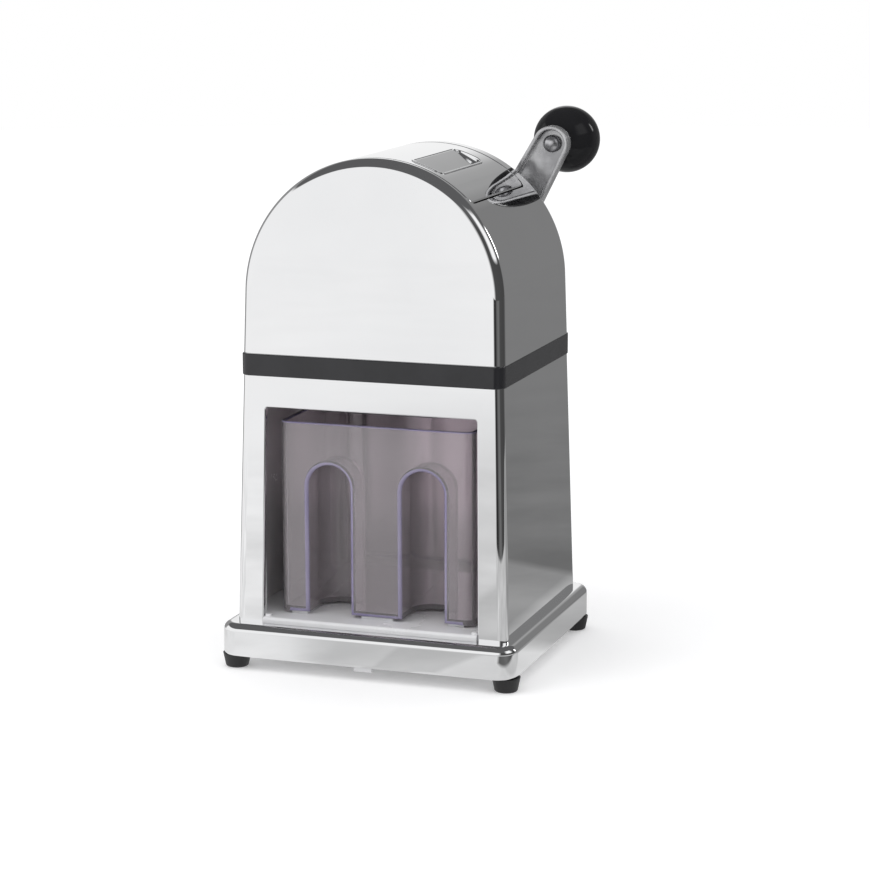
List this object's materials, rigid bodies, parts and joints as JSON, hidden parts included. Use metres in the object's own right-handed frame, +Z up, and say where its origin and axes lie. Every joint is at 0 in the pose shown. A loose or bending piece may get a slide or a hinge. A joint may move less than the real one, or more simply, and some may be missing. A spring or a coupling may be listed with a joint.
{
  "type": "ice shaver",
  "caption": "Hand-cranked ice shaver with an arched plated housing, a hinged lid over the ice chute, a bladed rotor on a rear crank and a clear slide-out drawer.",
  "frame": {"origin": "centre of the bounding box's bottom face, on the surface the feet stand on", "axes": "+X to the right side as seen from the front, +Y to the back where the crank is, +Z up"},
  "size_m": [0.149, 0.1703, 0.2599],
  "materials": {
    "chrome": "polished",
    "black_moulding": "gloss",
    "dark_moulding": "matte",
    "pale_moulding": "satin",
    "clear_moulding": "gloss",
    "knob_black": "gloss",
    "foot_rubber": "matte",
    "fastener_steel": "satin",
    "rotor_steel": "satin",
    "bush_brass": "satin"
  },
  "bodies": {
    "housing": {"upper_housing": "chrome", "lower_housing": "chrome", "middle_band": "black_moulding", "plinth": "chrome", "base_cover": "pale_moulding", "floor_plate": "pale_moulding", "foot_front_left": "foot_rubber", "foot_front_right": "foot_rubber", "foot_rear_left": "foot_rubber", "foot_rear_right": "foot_rubber", "foot_screws": "fastener_steel", "cover_screws": "fastener_steel", "housing_screws": "fastener_steel", "ice_chute": "dark_moulding", "crush_chamber": "dark_moulding", "chamber_screws": "fastener_steel", "comb_blade": "rotor_steel", "comb_screws": "fastener_steel", "front_bush": "bush_brass", "rear_bush": "bush_brass", "lid_hinge_pin": "fastener_steel"},
    "lid": {"lid": "chrome"},
    "drawer": {"ice_drawer": "clear_moulding"},
    "crank": {"rotor_shaft": "rotor_steel", "rotor_blade_1": "rotor_steel", "rotor_blade_2": "rotor_steel", "rotor_blade_3": "rotor_steel", "rotor_blade_4": "rotor_steel", "rotor_blade_5": "rotor_steel", "rotor_spacer_1": "rotor_steel", "rotor_spacer_2": "rotor_steel", "rotor_spacer_3": "rotor_steel", "rotor_spacer_4": "rotor_steel", "rotor_spacer_5": "rotor_steel", "rotor_spacer_6": "rotor_steel", "shaft_clip": "fastener_steel", "crank_arm": "chrome", "crank_screw": "fastener_steel", "knob_washer": "fastener_steel", "knob_spindle": "fastener_steel"},
    "knob": {"knob": "knob_black"}
  },
  "joints": [
    {"name": "crank_turn", "type": "hinge", "parent": "housing", "child": "crank", "pos_m": [0, -0.01925, 0.1466], "axis": [0, 1, 0], "continuous": true},
    {"name": "knob_spin", "type": "hinge", "parent": "crank", "child": "knob", "pos_m": [0.05292, 0.06905, 0.24326], "axis": [0, 1, 0], "continuous": true},
    {"name": "lid_hinge", "type": "hinge", "parent": "housing", "child": "lid", "pos_m": [-0.0448, -0.01925, 0.22367], "axis": [0, -1, 0], "range_deg": [0, 100]},
    {"name": "drawer_slide", "type": "slide", "parent": "housing", "child": "drawer", "axis": [0, -1, 0], "range_m": [0, 0.09]}
  ]
}
